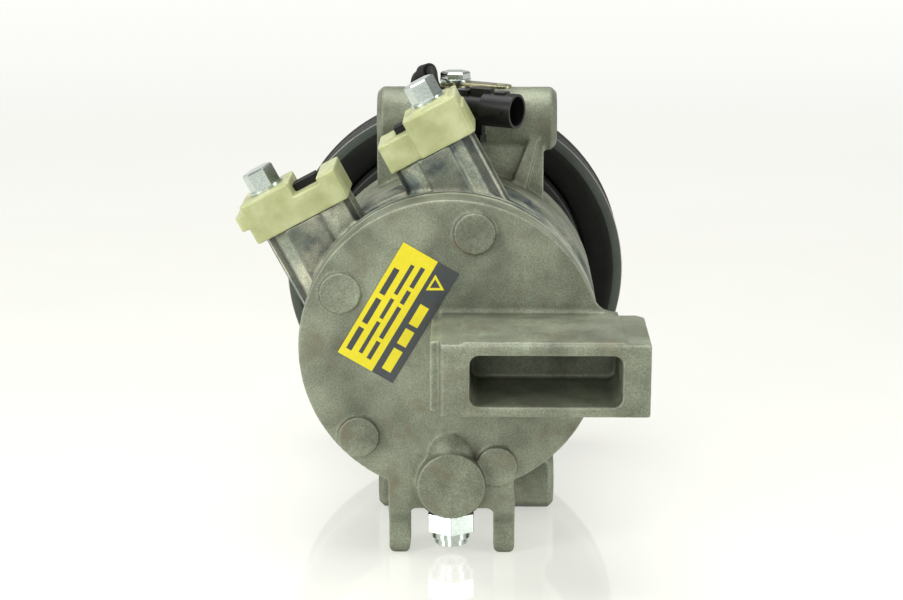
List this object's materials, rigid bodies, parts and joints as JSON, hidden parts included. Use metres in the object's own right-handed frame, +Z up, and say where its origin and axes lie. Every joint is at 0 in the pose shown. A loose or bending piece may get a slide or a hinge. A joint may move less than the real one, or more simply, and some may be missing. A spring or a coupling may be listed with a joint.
{
  "type": "automotive ac compressor",
  "caption": "Belt-driven scroll refrigerant compressor with electromagnetic clutch, two leaning capped ports, cast mounting bosses, rear bracket and relief valve.",
  "frame": {"origin": "on the shaft axis, in the middle plane of the belt grooves", "axes": "+Y along the shaft towards the clutch, +X towards the rear bracket's side, +Z up"},
  "size_m": [0.1493, 0.2046, 0.1771],
  "materials": {
    "cast_aluminium": "die cast, sand blasted, greyed",
    "machined_aluminium": "turned and milled",
    "black_e_coat": "black electrophoretic coat, satin",
    "ground_steel": "ground",
    "bearing_steel": "polished",
    "zinc_steel": "bright zinc plate",
    "yellow_zinc": "yellow passivated zinc plate",
    "spring_steel": "tempered strip",
    "copper_potting": "potted copper winding",
    "cap_nylon": "natural nylon, injection moulded",
    "black_rubber": "moulded",
    "black_plastic": "glass filled nylon, moulded",
    "ptfe": "filled PTFE",
    "gasket_sheet": "rubber coated steel sheet",
    "brass_pin": "tinned brass",
    "label_film": null
  },
  "bodies": {
    "housing": {"rear_cover": "cast_aluminium", "center_housing": "cast_aluminium", "front_housing": "cast_aluminium", "housing_gaskets": "gasket_sheet", "fixed_scroll": "machined_aluminium", "fixed_tip_seal": "ptfe", "orbit_guide_pins": "ground_steel", "thrust_plate": "ground_steel", "reed_stop": "ground_steel", "reed_screw": "zinc_steel", "oil_separator_tube": "ground_steel", "relief_valve_body": "zinc_steel", "relief_valve_seal": "machined_aluminium", "relief_valve_plug": "zinc_steel", "relief_spring": "spring_steel", "main_bearing_outer_ring": "bearing_steel", "front_bearing_shell": "bearing_steel", "shaft_seal": "black_rubber", "housing_snap_rings": "spring_steel", "field_coil_case": "black_e_coat", "field_coil_winding": "copper_potting", "coil_terminal_block": "black_plastic", "coil_lead": "black_rubber", "lead_grommet": "black_rubber", "connector_shell": "black_plastic", "connector_terminals": "brass_pin", "connector_bracket": "yellow_zinc", "clamp_screw": "zinc_steel", "through_bolts": "zinc_steel", "label": "label_film", "pulley_bearing_inner_ring": "bearing_steel"},
    "pulley_unit": {"pulley": "black_e_coat", "pulley_bearing_outer_ring": "bearing_steel", "pulley_bearing_seals": "black_rubber", "pulley_bearing_snap_ring": "spring_steel"},
    "pulley_bearing_set": {"pulley_bearing_balls": "bearing_steel"},
    "shaft_unit": {"crankshaft": "ground_steel", "eccentric_bush": "ground_steel", "main_bearing_inner_ring": "bearing_steel", "clutch_hub": "zinc_steel", "clutch_shim": "ground_steel", "leaf_springs": "spring_steel", "hub_rivets": "zinc_steel", "hub_bolt": "zinc_steel"},
    "main_bearing_set": {"main_bearing_balls": "bearing_steel"},
    "front_bearing_set": {"front_bearing_needles": "bearing_steel"},
    "orbiter": {"orbiting_scroll": "machined_aluminium", "orbiting_tip_seal": "ptfe", "orbit_guide_rings": "ground_steel", "drive_bush_liner": "ptfe"},
    "armature": {"armature_plate": "ground_steel", "armature_rivets": "zinc_steel"},
    "reed": {"discharge_reed": "spring_steel"},
    "poppet": {"relief_poppet": "brass_pin"},
    "suction_cap_unit": {"suction_cap": "cap_nylon", "suction_cap_seal": "black_rubber", "suction_cap_bolt": "zinc_steel"},
    "discharge_cap_unit": {"discharge_cap": "cap_nylon", "discharge_cap_seal": "black_rubber", "discharge_cap_bolt": "zinc_steel"}
  },
  "joints": [
    {"name": "pulley_spin", "type": "hinge", "parent": "housing", "child": "pulley_unit", "pos_m": [0, 0, 0], "axis": [0, 1, 0], "continuous": true},
    {"name": "pulley_bearing_roll", "type": "hinge", "parent": "housing", "child": "pulley_bearing_set", "pos_m": [0, 0, 0], "axis": [0, 1, 0], "continuous": true},
    {"name": "shaft_spin", "type": "hinge", "parent": "housing", "child": "shaft_unit", "pos_m": [0, -0.06, 0], "axis": [0, 1, 0], "continuous": true},
    {"name": "main_bearing_roll", "type": "hinge", "parent": "housing", "child": "main_bearing_set", "pos_m": [0, -0.063, 0], "axis": [0, 1, 0], "continuous": true},
    {"name": "front_bearing_roll", "type": "hinge", "parent": "housing", "child": "front_bearing_set", "pos_m": [0, -0.029, 0], "axis": [0, 1, 0], "continuous": true},
    {"name": "orbit", "type": "hinge", "parent": "shaft_unit", "child": "orbiter", "pos_m": [0.00349, -0.09, 0], "axis": [0, 1, 0], "continuous": true},
    {"name": "armature_pull", "type": "slide", "parent": "shaft_unit", "child": "armature", "axis": [0, -1, 0], "range_m": [0, 0.00048], "stiffness_N_per_m": 6000, "springref_m": -0.001, "deforming": ["leaf_springs"]},
    {"name": "reed_lift", "type": "hinge", "parent": "housing", "child": "reed", "pos_m": [0.009, -0.1187, 0], "axis": [0, 0, 1], "range_deg": [0, 7], "stiffness_Nm_per_rad": 0.001, "springref_deg": -2.86},
    {"name": "relief_lift", "type": "slide", "parent": "housing", "child": "poppet", "axis": [0, 0, -1], "range_m": [0, 0.0015], "stiffness_N_per_m": 150, "springref_m": -0.004, "deforming": ["relief_spring"]},
    {"name": "suction_cap_off", "type": "slide", "parent": "housing", "child": "suction_cap_unit", "axis": [-0.4695, 0, 0.8829], "range_m": [0, 0.04]},
    {"name": "discharge_cap_off", "type": "slide", "parent": "housing", "child": "discharge_cap_unit", "axis": [-0.4695, 0, 0.8829], "range_m": [0, 0.04]}
  ],
  "couplings": [
    {"joint": "pulley_bearing_roll", "follows": "pulley_spin", "ratio": 0.55778},
    {"joint": "main_bearing_roll", "follows": "shaft_spin", "ratio": 0.38387},
    {"joint": "front_bearing_roll", "follows": "shaft_spin", "ratio": 0.43699},
    {"joint": "orbit", "follows": "shaft_spin", "ratio": -1}
  ]
}
